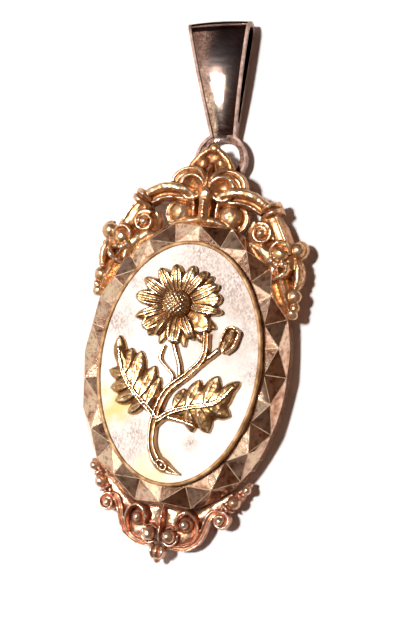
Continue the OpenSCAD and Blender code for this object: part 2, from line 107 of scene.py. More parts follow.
def wear_edges(piece, width, angle):
    """Rounds a piece's edges that turn by more than an angle. The new faces get its second material."""
    soft = piece.modifiers.new("worn edges", "BEVEL")
    soft.width = width
    soft.segments = 2
    soft.limit_method = "ANGLE"
    soft.angle_limit = math.radians(angle)
    soft.material = 1
    soft.use_clamp_overlap = True
    return settle_shape(piece)


def feed(tree, socket, value):
    """Joins an output to a socket, or sets the socket to a value. Colours have three parts."""
    if isinstance(value, bpy.types.NodeSocket):
        tree.links.new(value, socket)
    else:
        socket.default_value = (*value, 1) if isinstance(value, tuple) else value


def new_node(tree, kind, **sockets):
    """Node with values or other nodes' outputs on its inputs."""
    made = tree.nodes.new(kind)
    for name, value in sockets.items():
        feed(tree, made.inputs[name.replace("_", " ")], value)
    return made


class Finish:
    """Material under construction: its shader and the nodes that feed it."""

    def __init__(self, name, metallic=1.0):
        self.material = bpy.data.materials.new(name)
        self.material.use_nodes = True
        self.tree = self.material.node_tree
        self.shader = self.tree.nodes["Principled BSDF"]
        self.shader.inputs["Metallic"].default_value = metallic
        self.place = self.tree.nodes.new("ShaderNodeTexCoord").outputs["Object"]

    def node(self, kind, **sockets):
        return new_node(self.tree, kind, **sockets)

    def feed(self, socket, value):
        feed(self.tree, socket, value)

    def noise(self, size_mm, detail=3.0, rough=0.55, stretch=(1, 1, 1), turn=0.0):
        """Cloudy pattern whose lumps measure about size_mm."""
        place = self.place
        if stretch != (1, 1, 1) or turn:
            mapping = self.node("ShaderNodeMapping", Vector=place)
            mapping.inputs["Scale"].default_value = stretch
            mapping.inputs["Rotation"].default_value = (0, 0, turn)
            place = mapping.outputs["Vector"]
        made = self.node(
            "ShaderNodeTexNoise", Vector=place, Scale=1 / (size_mm * MM), Detail=detail, Roughness=rough)
        return made.outputs["Fac"]

    def ramp(self, value, *stops):
        """Colour or grey band: stops of (place, colour)."""
        made = self.node("ShaderNodeValToRGB", Fac=value)
        band = made.color_ramp
        while len(band.elements) < len(stops):
            band.elements.new(0.5)
        for element, (place, colour) in zip(band.elements, stops):
            element.position = place
            element.color = (*colour, 1) if isinstance(colour, tuple) else (colour, colour, colour, 1)
        return made.outputs["Color"]

    def mix(self, share, first, second, way="MIX"):
        """Two colours mixed. The colours are the node's sockets 6, 7 and, for the result, 2."""
        made = self.tree.nodes.new("ShaderNodeMix")
        made.data_type = "RGBA"
        made.blend_type = way
        self.feed(made.inputs[0], share)
        self.feed(made.inputs[6], first)
        self.feed(made.inputs[7], second)
        return made.outputs[2]

    def darken(self, colour, mask):
        """Colour times a mask that is white where nothing changes."""
        return self.mix(1.0, colour, mask, "MULTIPLY")

    def reckon(self, way, first, second=0.0, clamp=False):
        """Sum on two numbers or outputs."""
        made = self.tree.nodes.new("ShaderNodeMath")
        made.operation = way
        made.use_clamp = clamp
        self.feed(made.inputs[0], first)
        self.feed(made.inputs[1], second)
        return made.outputs[0]

    def up_share(self):
        """Place up the pendant: 0 at the middle of the case, 1 at 50 mm above it."""
        spread = self.node("ShaderNodeSeparateXYZ", Vector=self.place)
        return self.reckon("MULTIPLY", spread.outputs["Y"], 20.0)

    def bump(self, height, depth_mm, strength, under=None):
        """Relief too fine to model, over another relief if one is given."""
        made = self.node("ShaderNodeBump", Height=height, Strength=strength, Distance=depth_mm * MM)
        if under is not None:
            self.feed(made.inputs["Normal"], under)
        return made.outputs["Normal"]

    def attribute(self, name):
        """Number that the piece's mesh stores at each point."""
        made = self.tree.nodes.new("ShaderNodeAttribute")
        made.attribute_name = name
        return made.outputs["Fac"]

    def finish(self, colour, roughness, normal=None):
        """Feeds the shader, and returns the material."""
        self.feed(self.shader.inputs["Base Color"], colour)
        self.feed(self.shader.inputs["Roughness"], roughness)
        if normal is not None:
            self.feed(self.shader.inputs["Normal"], normal)
        return self.material


def cut_gold():
    gold = Finish("cut rose gold")
    gold.feed(gold.shader.inputs["Metallic"], gold.ramp(gold.noise(5, 3), (0.35, 0.7), (0.65, 0.88)))
    clouds = gold.noise(2.2, 4)
    stipple = gold.noise(0.24, 4, 0.7)
    dirt = gold.noise(0.55, 5, 0.65)
    tone = gold.ramp(clouds, (0.36, (0.6, 0.32, 0.18)), (0.5, (0.95, 0.68, 0.5)), (0.64, (0.93, 0.75, 0.5)))
    specks = gold.ramp(dirt, (0.36, 0.5), (0.5, 1))
    # Painted shade: facets that face right, away from the lamp, are darkened, and the steepest right-facing
    # sides are kept pale as a painted reflection of the white table.
    looks_at = gold.tree.nodes.new("ShaderNodeTexCoord").outputs["Normal"]
    rightward = gold.node("ShaderNodeSeparateXYZ", Vector=looks_at).outputs["X"]
    painted_facet_shade = gold.ramp(
        gold.reckon("ADD", gold.reckon("MULTIPLY", rightward, 0.5), 0.5),
        (0.38, (1, 1, 1)), (0.52, (0.78, 0.7, 0.66)), (0.66, (0.32, 0.22, 0.17)),
        (0.84, (0.4, 0.3, 0.26)), (0.92, (0.95, 0.86, 0.84)))
    colour = gold.darken(gold.darken(tone, specks), painted_facet_shade)
    rough = gold.ramp(stipple, (0.3, 0.16), (0.65, 0.11))
    waves = gold.bump(gold.noise(1.5, 3), 0.05, 0.5)
    return gold.finish(colour, rough, gold.bump(stipple, 0.014, 0.6, waves))


def worn_gold():
    gold = Finish("worn rose gold edge")
    tone = gold.ramp(gold.noise(0.7), (0.35, (0.5, 0.31, 0.17)), (0.65, (0.9, 0.72, 0.54)))
    return gold.finish(tone, 0.75)


case = merged_copy("case", "cut_case")
dress(case, cut_gold(), worn_gold())
wear_edges(case, 0.055 * MM, 5)
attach(case, "pendant")
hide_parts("case")


# ---- Back plate ----
# Plain oval of rose gold let into the back of the case. It is hidden in the photograph, so it is
# finished plainly, with the fine scratches of a back that has rubbed on clothes.
def rubbed_gold():
    gold = Finish("rubbed rose gold")
    scratches = gold.noise(0.5, 6, 0.7, (0.12, 1, 1), 0.5)
    tone = gold.ramp(gold.noise(4), (0.3, (0.66, 0.45, 0.37)), (0.7, (0.82, 0.6, 0.5)))
    rough = gold.ramp(scratches, (0.35, 0.12), (0.65, 0.22))
    return gold.finish(tone, rough, gold.bump(scratches, 0.004, 0.4))


dress(solids["back_plate"], rubbed_gold())


# ---- Plaque ----
# Pale matt oval behind the relief. It is cream, stained yellow at its lower left, with mauve-grey
# tarnish in streaks at its upper right and lower left, and it has a fine grain.
def pale_gilt():
    pale = Finish("pale matt gilt", 0.0)
    grain = pale.noise(0.2, 5, 0.75, (1, 0.6, 1), 0.7)
    cloud = pale.noise(3.2, 5, 0.6)
    spread = pale.node("ShaderNodeSeparateXYZ", Vector=pale.place)
    across_mm, along_mm = (pale.reckon("MULTIPLY", spread.outputs[axis], 1000.0) for axis in "XY")

    def patch(x, y, reach, fade):
        """Round patch that fades out: 1 at its centre, 0 beyond reach, roughened by the cloud."""
        dx = pale.reckon("SUBTRACT", across_mm, x)
        dy = pale.reckon("SUBTRACT", along_mm, y)
        squares = pale.reckon("ADD", pale.reckon("MULTIPLY", dx, dx), pale.reckon("MULTIPLY", dy, dy))
        far = pale.reckon("SQRT", squares)
        near = pale.reckon("DIVIDE", pale.reckon("SUBTRACT", reach, far), fade, True)
        return pale.reckon("MULTIPLY", near, pale.ramp(cloud, (0.32, 0.1), (0.56, 1)))

    cream, grey_grain, beige = (0.93, 0.885, 0.83), (0.8, 0.74, 0.66), (0.6, 0.46, 0.34)
    deep_yellow, pale_yellow = (0.9, 0.66, 0.22), (0.92, 0.76, 0.4)
    tarnish = pale.ramp(grain, (0.42, (0.4, 0.28, 0.26)), (0.5, (0.68, 0.55, 0.46)), (0.57, (0.9, 0.8, 0.72)))
    colour = pale.mix(pale.ramp(grain, (0.35, 0.35), (0.55, 0)), cream, grey_grain)
    spots = (
        # x, y, reach and fade in millimetres
        (4.6, 10.8, 5.4, 3.4), (8.6, 5.2, 4, 3), (9.4, 0, 2.6, 2), (0, 13.4, 3.4, 2.4),
        (-4.8, -9.6, 4.2, 2.8), (-8.2, 4.6, 3.6, 2.6), (-6.2, 10.2, 3, 2), (3, -9.2, 1.3, 1))
    colour = pale.mix(patch(6, 8, 10, 6), colour, beige)
    for spot in spots:
        colour = pale.mix(patch(*spot), colour, tarnish)
    colour = pale.mix(patch(-7.3, -6, 3.4, 1.4), colour, deep_yellow)
    colour = pale.mix(patch(-1, -13.2, 3.4, 2.2), colour, pale_yellow)
    return pale.finish(colour, 0.55, pale.bump(grain, 0.01, 0.4))


dress(solids["plaque"], pale_gilt())


# ---- Rim ----
# Drawn gold strip set on edge round the plaque, with its upper edge burnished round over the plaque.
# It is olive gold, clouded with brown.
def oval_strip(half_width, half_length, thickness, low, high, rounding):
    """Strip on edge along an oval, made by a node tree, as a plain mesh."""
    tree = bpy.data.node_groups.new("strip round an oval", "GeometryNodeTree")
    tree.interface.new_socket("Geometry", in_out="OUTPUT", socket_type="NodeSocketGeometry")
    sizes = {
        "Half width": half_width, "Half length": half_length, "Thickness": thickness, "Height": high - low,
        "Middle height": (low + high) / 2, "Rounding": rounding}
    for name, value in sizes.items():
        socket = tree.interface.new_socket(name, in_out="INPUT", socket_type="NodeSocketFloat")
        socket.default_value = value * MM
    given = tree.nodes.new("NodeGroupInput").outputs

    def step(kind, **sockets):
        return new_node(tree, kind, **sockets)

    circle = step("GeometryNodeCurvePrimitiveCircle", Resolution=300, Radius=1.0)
    scale = step("ShaderNodeCombineXYZ", X=given["Half width"], Y=given["Half length"])
    lift = step("ShaderNodeCombineXYZ", Z=given["Middle height"])
    place = tree.nodes.new("GeometryNodeInputPosition").outputs["Position"]
    spread = tree.nodes.new("ShaderNodeVectorMath")
    spread.operation = "MULTIPLY_ADD"
    for socket, value in zip(spread.inputs, (place, scale.outputs[0], lift.outputs[0])):
        tree.links.new(value, socket)
    oval = step("GeometryNodeSetPosition", Geometry=circle.outputs["Curve"], Position=spread.outputs[0])
    level = step("GeometryNodeSetCurveNormal", Curve=oval.outputs["Geometry"])
    level.mode = "Z_UP"
    section = step(
        "GeometryNodeCurvePrimitiveQuadrilateral", Width=given["Thickness"], Height=given["Height"])
    soft = step("GeometryNodeFilletCurve", Curve=section.outputs["Curve"], Radius=given["Rounding"])
    soft.mode = "POLY"
    soft.inputs["Count"].default_value = 5
    swept = step("GeometryNodeCurveToMesh", Curve=level.outputs["Curve"], Profile_Curve=soft.outputs["Curve"])
    smooth = step("GeometryNodeSetShadeSmooth", Geometry=swept.outputs["Mesh"])
    solid = step("GeometryNodeRealizeInstances", Geometry=smooth.outputs["Geometry"])
    finished = step("GeometryNodeSetMaterial", Geometry=solid.outputs["Geometry"], Material=rim_gold())
    tree.links.new(finished.outputs["Geometry"], tree.nodes.new("NodeGroupOutput").inputs["Geometry"])

    piece = put("plaque_rim", bpy.data.meshes.new("plaque_rim"))
    strip = piece.modifiers.new("strip", "NODES")
    strip.node_group = tree
    return settle_shape(piece)


def rim_gold():
    gold = Finish("olive gold strip", 0.85)
    cloud = gold.noise(1.3, 4)
    grain = gold.noise(0.2, 4, 0.6)
    tone = gold.ramp(cloud, (0.35, (0.32, 0.16, 0.06)), (0.5, (0.54, 0.32, 0.15)), (0.7, (0.78, 0.56, 0.34)))
    return gold.finish(tone, gold.ramp(grain, (0.3, 0.8), (0.6, 0.66)), gold.bump(grain, 0.01, 0.4))


rim = oval_strip(half_width=9.795, half_length=14.42, thickness=0.44, low=4.34, high=5.75, rounding=0.16)
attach(rim, "pendant")
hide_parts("rim")


# ---- Daisy spray ----
# One thin casting in gold, pinned to the plaque: a daisy with fluted, cupped petals round a hatched
# dome, its stem, tendril and bud, and two lobed leaves. Hollows are brown with tarnish and painted shade, high
# places are bright.
def flow(rows):
    """Smooth line through rows, with a point about every eighth of a millimetre."""
    spacing = 0.12
    out = []
    last = len(rows) - 1
    for i in range(last):
        a, b, c, d = rows[max(i - 1, 0)], rows[i], rows[i + 1], rows[min(i + 2, last)]
        steps = max(2, int(np.linalg.norm((c - b)[:2]) / spacing))
        for t in np.arange(steps) / steps:
            near = 2 * b + (c - a) * t + (2 * a - 5 * b + 4 * c - d) * t**2
            out.append((near + (3 * b - a - 3 * c + d) * t**3) / 2)
    out.append(rows[last])
    return np.array(out)


def rounded(u):
    """Form across a raised band: height at a place from -1 to 1 across it. This one is a full round."""
    return np.sqrt(np.clip(1 - np.abs(u) ** 2.4, 0, 1))


def broad(u):
    """Almost flat, with rounded edges."""
    return np.sqrt(np.clip(1 - np.abs(u) ** 5, 0, 1))


def fluted(u):
    """Two rounded ridges with a groove between them."""
    return broad(u) * (0.74 + 0.26 * np.sin(math.pi * np.abs(u) ** 0.9) ** 1.5)


def dished(u):
    """Hollow between two raised edges."""
    return np.sqrt(np.clip(1 - np.abs(u) ** 8, 0, 1)) * (0.62 + 0.38 * np.abs(u) ** 2.5)


def ribbed(u):
    """Low sides with one sharp rib."""
    return np.sqrt(np.clip(1 - np.abs(u) ** 3, 0, 1)) * 0.7 + 0.3 * np.exp(-((u / 0.24) ** 2))


class Casting:
    """Closed solids of one casting in millimetres, fused and smoothed at the end."""

    def __init__(self, back):
        self.back = back
        self.points, self.faces, self.count = [], [], 0

    def add(self, points, faces):
        """Keeps one closed solid."""
        self.points.append(np.asarray(points, float))
        self.faces.extend([[i + self.count for i in face] for face in faces])
        self.count += len(points)

    def pad(self, top, back=None):
        """Solid under a grid of top points, down to a flat back."""
        rows, columns = top.shape[:2]
        low = top.copy()
        low[..., 2] = self.back if back is None else back
        faces = []
        under = rows * columns
        for i in range(rows - 1):
            for j in range(columns - 1):
                a = i * columns + j
                faces.append([a, a + 1, a + columns + 1, a + columns])
                faces.append([under + a, under + a + columns, under + a + columns + 1, under + a + 1])
        ring = list(range(columns)) + [i * columns + columns - 1 for i in range(1, rows)]
        ring += [(rows - 1) * columns + j for j in range(columns - 2, -1, -1)]
        ring += [i * columns for i in range(rows - 2, 0, -1)]
        for a, b in zip(ring, ring[1:] + ring[:1]):
            faces.append([b, a, under + a, under + b])
        self.add(np.concatenate([top.reshape(-1, 3), low.reshape(-1, 3)]), faces)

    def strand(self, rows, form=rounded):
        """Raised band along rows of [x, y, half width, back, front], with a form across it."""
        rows = flow(np.array(rows, float))
        heading = np.gradient(rows[:, :2], axis=0)
        heading /= np.linalg.norm(heading, axis=1)[:, None]
        u = np.sin(np.linspace(-math.pi / 2, math.pi / 2, 13))
        side = np.stack([-heading[:, 1], heading[:, 0]], axis=1)
        top = np.zeros((len(rows), len(u), 3))
        top[..., :2] = rows[:, None, :2] + side[:, None, :] * (u[None, :, None] * rows[:, None, 2:3])
        top[..., 2] = rows[:, None, 3] + (rows[:, 4] - rows[:, 3])[:, None] * form(u)[None, :]
        self.pad(top[:, ::-1], rows[:, 3].min())

    def band(self, back, rows, form=rounded):
        """Strand with one back height, along rows of [x, y, half width, front]."""
        self.strand([[x, y, half_w, back, front] for x, y, half_w, front in rows], form)

    def ball(self, x, y, z, r, tall=1.0, foot=None):
        """Ball, with a stem down to a foot if one is given."""
        around, up = 20, 10
        turns = [2 * math.pi * j / around for j in range(around)]
        points = [(x, y, z + r * tall)]
        for i in range(1, up):
            a = math.pi * i / up
            wide, high = r * math.sin(a), z + r * tall * math.cos(a)
            points += [(x + wide * math.cos(b), y + wide * math.sin(b), high) for b in turns]
        points.append((x, y, z - r * tall))
        faces = [[0, 1 + j, 1 + (j + 1) % around] for j in range(around)]
        for i in range(up - 2):
            for j in range(around):
                a, b = 1 + i * around + j, 1 + i * around + (j + 1) % around
                faces.append([a, a + around, b + around, b])
        last = 1 + (up - 2) * around
        faces += [[last + (j + 1) % around, last + j, len(points) - 1] for j in range(around)]
        self.add(points, faces)
        if foot is not None:
            stem, turns = 0.72 * r, np.linspace(0, 2 * math.pi, 13)[:-1]
            self.plate([(x + stem * math.cos(t), y + stem * math.sin(t)) for t in turns], foot, z)

    def round_pad(self, x, y, r, sides, height, back=None):
        """Round pad with a height for each share of its radius."""
        t = np.linspace(0, 2 * math.pi, sides + 1)
        top = np.zeros((12, sides + 1, 3))
        for i, share in enumerate(np.linspace(0.02, 1, 12)):
            top[i, :, 0] = x + r * share * np.cos(t)
            top[i, :, 1] = y + r * share * np.sin(t)
            top[i, :, 2] = height(share)
        self.pad(top, back)

    def plate(self, outline, low, high):
        """Flat plate with a given outline."""
        n = len(outline)
        points = [(x, y, high) for x, y in outline] + [(x, y, low) for x, y in outline]
        faces = [list(range(n)), list(range(2 * n - 1, n - 1, -1))]
        faces += [[i, n + i, n + (i + 1) % n, (i + 1) % n] for i in range(n)]
        self.add(points, faces)

    def scroll(self, x, y, r0, r1, start, turn, half_w, back, front, steps, rise=0.0):
        """Band that coils from its outer to its inner radius."""
        rows = []
        for t in np.linspace(0, 1, steps):
            r, a = r0 + (r1 - r0) * t, math.radians(start + turn * t)
            rows.append([x + r * math.cos(a), y + r * math.sin(a), half_w * (1 - 0.4 * t), front + rise * t])
        self.band(back, rows)

    def mirror(self):
        """Adds all that is there so far once more, with left and right exchanged."""
        self.faces += [[i + self.count for i in reversed(face)] for face in self.faces]
        self.points += [p * np.array([-1.0, 1.0, 1.0]) for p in self.points]
        self.count *= 2

    def fuse(self, name, voxel, rounds, unevenness):
        """One closed skin over all solids, a little uneven and lightly smoothed."""
        mesh = bpy.data.meshes.new(name)
        mesh.from_pydata((np.concatenate(self.points) * MM).tolist(), [], self.faces)
        piece = put(name, mesh)
        skin = piece.modifiers.new("skin", "REMESH")
        skin.mode = "VOXEL"
        skin.voxel_size = voxel * MM
        settle_shape(piece)
        clouds = bpy.data.textures.new(name, "CLOUDS")
        clouds.noise_scale = 0.9 * MM
        clouds.noise_depth = 2
        uneven = piece.modifiers.new("cast unevenness", "DISPLACE")
        uneven.texture = clouds
        uneven.strength = unevenness * MM
        soft = piece.modifiers.new("cast softness", "SMOOTH")
        soft.factor = 0.5
        soft.iterations = rounds
        settle_shape(piece)
        piece.data.shade_smooth()
        return piece


def read_points(mesh, what):
    """Places or normals of a mesh's points, one in each row."""
    values = np.empty(len(mesh.vertices) * 3)
    mesh.vertices.foreach_get(what, values)
    return values.reshape(-1, 3)


def cavity(piece, reach_rounds, name, gain):
    """Stores how hollow (0) or raised (1) each point lies against its surroundings, 0.5 where it is flat."""
    mesh = piece.data
    count = len(mesh.vertices)
    place, normal = read_points(mesh, "co") / MM, read_points(mesh, "normal")
    edges = np.empty(len(mesh.edges) * 2, dtype=np.int64)
    mesh.edges.foreach_get("vertices", edges)
    shares = np.bincount(edges, minlength=count)[:, None]
    near, far = edges[::2], edges[1::2]
    mean = place.copy()
    for _ in range(reach_rounds):
        total = np.zeros_like(mean)
        for k in range(3):
            total[:, k] = np.bincount(near, mean[far, k], count) + np.bincount(far, mean[near, k], count)
        mean = 0.5 * mean + 0.5 * total / np.maximum(shares, 1)
    height = ((place - mean) * normal).sum(axis=1)
    value = np.clip(0.5 + gain * height, 0, 1)
    mesh.attributes.new(name, "FLOAT", "POINT").data.foreach_set("value", value)
    if "facing" not in mesh.attributes:
        mesh.attributes.new("facing", "FLOAT", "POINT").data.foreach_set("value", np.clip(normal[:, 2], 0, 1))


# Millimetres: middles of the flower and of the eye, height of the plaque's face, heights of petals and
# leaves over it, the dome's radius and its heights, and the spacing and depth of its grooves
FLOWER, EYE = (-0.95, 6.85), (0.05, -12.15)
ON_PLAQUE = 5.54
PETAL_RISE, BACK_RISE, LEAF_RISE, BLADE_RISE = 1.2, 0.55, 0.8, 0.78
DOME_R, DOME_FOOT, DOME_RISE = 1.7, 0.75, 2.0
HATCH, HATCH_DEEP = 0.42, 0.13


def petal(spray, angle, share, half_w, rise, cup, flutes):
    """Petal from under the dome to its rounded tip."""
    turn = math.radians(angle)
    root, reach = 1.15, 5.6 * share
    s = np.linspace(0, 1, 26)[:, None]
    u = np.sin(np.linspace(-math.pi / 2, math.pi / 2, 21))[None, :]
    belly = 0.62
    width = np.where(
        s < belly, 0.42 + 0.58 * np.sin(math.pi / 2 * s / belly),
        np.sqrt(np.clip(1 - ((s - belly) / (1 - belly)) ** 2, 0.0009, 1)))
    crown = 0.42 + 0.58 * np.sin(math.pi / 2 * np.clip(s / 0.5, 0, 1))
    crown = crown - 0.42 * np.clip((s - 0.6) / 0.4, 0, 1) ** 2
    flute = 0.085 * np.cos(flutes * math.pi * u) * (1 - 0.7 * s)
    hollow = (0.12 + 1.1 * cup) * (1 - u**2) * np.sin(math.pi * np.clip(0.1 + s, 0, 1)) ** 0.7
    edge = np.sqrt(np.clip(1 - np.abs(u) ** 3.6, 0, 1))
    top = np.zeros((s.size, u.size, 3))
    far = root + (reach - root) * s + 0 * u
    wide = 1.1 * half_w * width * u
    top[..., 0] = FLOWER[0] + far * math.cos(turn) - wide * math.sin(turn)
    top[..., 1] = FLOWER[1] + far * math.sin(turn) + wide * math.cos(turn)
    top[..., 2] = ON_PLAQUE + rise * edge * (crown + flute - hollow + 0.12 * np.abs(u) ** 4)
    spray.pad(top[:, ::-1])


def leaf_lobe(spray, x0, y0, x1, y1, half_w, bend, rise=LEAF_RISE):
    """Rounded lobe with a sunk vein, which slopes down to its tip."""
    start, end = np.array([x0, y0]), np.array([x1, y1])
    axis = end - start
    side = np.array([-axis[1], axis[0]]) / np.linalg.norm(axis)
    s = np.linspace(0, 1, 22)[:, None]
    u = np.sin(np.linspace(-math.pi / 2, math.pi / 2, 17))[None, :]
    width = 1.12 * np.clip(np.sin(math.pi * np.clip(s, 0, 1) ** 0.95), 0.02, 1) ** 0.6 * (0.85 + 0.15 * s)
    crown = 1.15 - 0.65 * s**1.5
    vein = -0.1 * np.exp(-((u / 0.2) ** 2)) * np.sin(math.pi * s)
    ribs = 0.04 * np.cos(5 * math.pi * (np.abs(u) + 0.25 * s)) * np.abs(u)
    middle = start[None, None, :] + axis[None, None, :] * s[..., None]
    middle = middle + side * (bend * np.sin(math.pi * s))[..., None]
    top = np.zeros((s.size, u.size, 3))
    top[..., :2] = middle + side * (half_w * width * u)[..., None]
    top[..., 2] = ON_PLAQUE + rise * rounded(u) * (crown + (vein + ribs))
    spray.pad(top[:, ::-1])


PETALS = [
    # angle from +X, share of the flower's radius, half width, cup, flutes
    (100, 0.86, 0.78, 0.1, 3), (74, 0.9, 0.66, 0.15, 2), (55, 0.93, 0.7, 0.05, 4), (31, 0.98, 0.72, 0.2, 2),
    (14, 0.97, 0.95, 0.3, 2), (-4, 1, 0.6, 0.05, 3), (-32, 0.9, 1.2, 0.38, 1), (-58, 0.84, 0.72, 0.05, 3),
    (-89, 0.85, 0.98, 0.3, 3), (-118, 0.82, 0.48, 0, 2), (-140, 0.92, 1, 0.34, 3),
    (-157, 0.98, 0.6, 0.15, 2), (175, 0.96, 0.92, 0.2, 3), (150, 0.94, 0.78, 0.12, 3),
    (124, 0.88, 0.8, 0.12, 3)]
BACK_PETALS = [
    # angle, share, half width
    (-25, 1, 0.6), (-48, 1, 0.66), (-73, 0.94, 0.5), (-108, 0.94, 0.5), (-128, 0.94, 0.6), (44, 0.98, 0.5)]
LOBES = [
    # root x, root y, tip x, tip y, half width, bend
    (-6.6, -1.6, -7.6, 2.3, 0.9, 0.15), (-6.1, -2.1, -5.8, 1.05, 0.85, 0), (-4.9, -3.6, -4.6, 0.85, 1.05, 0),
    (-3.8, -4.6, -2.6, -0.7, 1, 0), (-2.9, -5.5, -1.8, -1.95, 0.8, 0), (-5.9, -2.3, -8.3, -2, 0.8, 0.1),
    (-5.2, -3.4, -7.8, -4.1, 0.9, 0), (-4.3, -4.3, -7, -5.6, 0.85, 0), (-3.3, -5.2, -5.2, -6.8, 0.7, 0),
    (5.6, -3.7, 7.9, -1.2, 0.75, 0.1), (4.1, -4.3, 5.2, -0.9, 1.05, 0), (2, -5, 3.1, -1.65, 0.95, 0),
    (0.4, -5.4, 1.4, -2.9, 0.75, 0), (4.4, -4.4, 7.3, -5.4, 1.05, 0), (3.3, -4.7, 5, -7.7, 1.1, 0),
    (2.1, -5.1, 3.1, -7.9, 0.9, 0)]
STEMS = [
    # height, form, rows of x, y, half width
    (0.9, fluted, [
        (3.1, 3.9, 0.42), (3.15, 1, 0.42), (1.55, -1.2, 0.45), (-0.75, -3.6, 0.5), (-1.7, -6.85, 0.55),
        (-1.7, -9.6, 0.5), (-0.95, -11.4, 0.6), (0.2, -12.3, 0.7), (2.25, -12.95, 0.08)]),
    (0.75, rounded, [(5.4, 2.7, 0.34), (3.05, 0.3, 0.33), (0.95, -1.75, 0.35)]),
    (0.65, rounded, [(-0.95, 2.6, 0.3), (0.3, -0.3, 0.33), (0.65, -2.35, 0.35)]),
    (0.55, rounded, [
        (-1.85, 1.9, 0.18), (-2.15, 0.3, 0.26), (-1.35, -0.6, 0.18), (-0.3, -1.65, 0.22), (-0.35, -3.5, 0.3)]),
    (0.95, fluted, [
        (-1.65, -6.85, 0.42), (-2.4, -6, 0.38), (-4.6, -4.25, 0.3), (-6.5, -1.9, 0.24), (-7.4, 0.8, 0.12)]),
    (0.95, fluted, [
        (-1.45, -7.15, 0.36), (0.05, -5.95, 0.34), (2.2, -5.05, 0.3), (5.4, -4.05, 0.24), (7.3, -1.9, 0.12)]),
    (0.8, rounded, [(-1.45, -7.65, 0.35), (-0.55, -6.65, 0.34), (1.3, -6.7, 0.3), (3.3, -7.1, 0.2)])]
BLADES = [
    # x, y, half width
    [(-2.2, -6, 0.4), (-3.8, -4.2, 1.3), (-5.2, -2.8, 1.4), (-6.5, -1, 0.8), (-7.3, 0.8, 0.3)],
    [(0.3, -5.9, 0.4), (2.5, -4.9, 1.4), (4.6, -4.2, 1.6), (6.2, -3.2, 0.9), (7.2, -1.9, 0.3)]]

spray = Casting(ON_PLAQUE)
for angle, share, half_w in BACK_PETALS:
    petal(spray, angle, share, half_w, BACK_RISE, 0, 2)
for angle, share, half_w, cup, flutes in PETALS:
    petal(spray, angle, share, half_w, PETAL_RISE, cup, flutes)
spray.round_pad(
    *FLOWER, DOME_R, 32,
    lambda r: ON_PLAQUE + DOME_FOOT + (DOME_RISE - DOME_FOOT) * math.sqrt(1 - (0.985 * r) ** 2))
for row in LOBES:
    leaf_lobe(spray, *row)
for rows in BLADES:
    spray.band(ON_PLAQUE, [[x, y, 1.35 * half_w, ON_PLAQUE + BLADE_RISE] for x, y, half_w in rows])
for rise, form, rows in STEMS:
    spray.band(ON_PLAQUE, [[x, y, 1.2 * half_w, ON_PLAQUE + rise] for x, y, half_w in rows], form)
# Foot: an oval eye with a raised outline on the end of the stem
outline = []
for turn in np.radians(np.arange(0, 375, 30)):
    lengthwise, beside = 0.72 * math.cos(turn), 0.4 * math.sin(turn)
    outline.append([
        EYE[0] + 0.84 * lengthwise + 0.54 * beside, EYE[1] - 0.54 * lengthwise + 0.84 * beside, 0.15, 6.62])
spray.band(ON_PLAQUE, outline)
spray.ball(*EYE, 6.3, 0.24, 0.9, ON_PLAQUE)
# Bud: two long sepals, a short one across its end, and the closed flower between them
spray.band(ON_PLAQUE, [[4.95, 1.95, 0.24, 6.45], [5.05, 3.2, 0.26, 6.7], [5.45, 4.75, 0.22, 6.55]])
spray.band(ON_PLAQUE, [[5.75, 1.75, 0.24, 6.45], [6.6, 2.7, 0.26, 6.7], [7.05, 4.4, 0.22, 6.55]])
spray.band(ON_PLAQUE, [[5.35, 4.7, 0.22, 6.5], [6.2, 4.9, 0.24, 6.6], [7.1, 4.4, 0.22, 6.5]])
leaf_lobe(spray, 5.3, 1.7, 6.3, 4.9, 0.72, 0, rise=0.95)
daisy = spray.fuse("daisy_spray", voxel=0.082, rounds=1, unevenness=0.1)


def hatch(piece):
    """Cuts two crossing sets of grooves into the dome."""
    mesh = piece.data
    place = read_points(mesh, "co")
    x, y = place[:, 0] / MM - FLOWER[0], place[:, 1] / MM - FLOWER[1]
    near = np.clip((DOME_R - np.hypot(x, y)) / 0.15, 0, 1) * (place[:, 2] / MM > ON_PLAQUE + 0.9)
    cut = np.zeros(len(x))
    for turn in (42, -48):
        a = math.radians(turn)
        wave = np.abs(np.sin(math.pi * (x * math.cos(a) + y * math.sin(a)) / HATCH))
        cut = np.maximum(cut, 1 - wave**0.8)
    place[:, 2] -= HATCH_DEEP * cut * near * MM
    mesh.vertices.foreach_set("co", place.ravel())
    mesh.update()


hatch(daisy)


def cast_gold(name, bright, middle, hollow, dust_and_shade, shine, bare):
    """Gold darker in its hollows, from tarnish and from painted shade, with painted shade on its steep sides,
    and darker towards the top of the pendant. The colours go from high to low places. For high places, shine
    is how rough they are, and bare is how metallic."""
    gold = Finish(name)
    fine, broad = gold.attribute("fine_cavity"), gold.attribute("broad_cavity")
    cloud = gold.noise(0.8, 4)
    grain = gold.noise(0.16, 4, 0.6)
    # Hollows come out darker: tarnish together with painted shade.
    depth = gold.reckon("ADD", gold.reckon("MULTIPLY", fine, 0.5), gold.reckon("MULTIPLY", broad, 0.5))
    depth = gold.reckon("ADD", depth, gold.reckon("MULTIPLY", gold.reckon("SUBTRACT", cloud, 0.5), 0.35))
    # Painted shade: steep sides, which face less upward, count as lower and so come out darker.
    depth = gold.reckon("SUBTRACT", depth, gold.ramp(gold.attribute("facing"), (0.1, 0.12), (0.75, 0)))
    # Darker towards the top of the pendant.
    depth = gold.reckon("SUBTRACT", depth, gold.ramp(gold.up_share(), (0.44, 0), (0.4933, 0.12)))
    tone = gold.ramp(depth, (0.27, dust_and_shade), (0.4, hollow), (0.51, middle), (0.68, bright))
    gold.feed(gold.shader.inputs["Metallic"], gold.ramp(depth, (0.28, 0.4), (0.46, bare)))
    specks = gold.ramp(grain, (0.3, 0.6), (0.5, 1))
    rough = gold.ramp(depth, (0.28, 0.55), (0.46, shine + 0.06), (0.7, shine))
    return gold.finish(gold.darken(tone, specks), rough, gold.bump(grain, 0.01, 0.35))


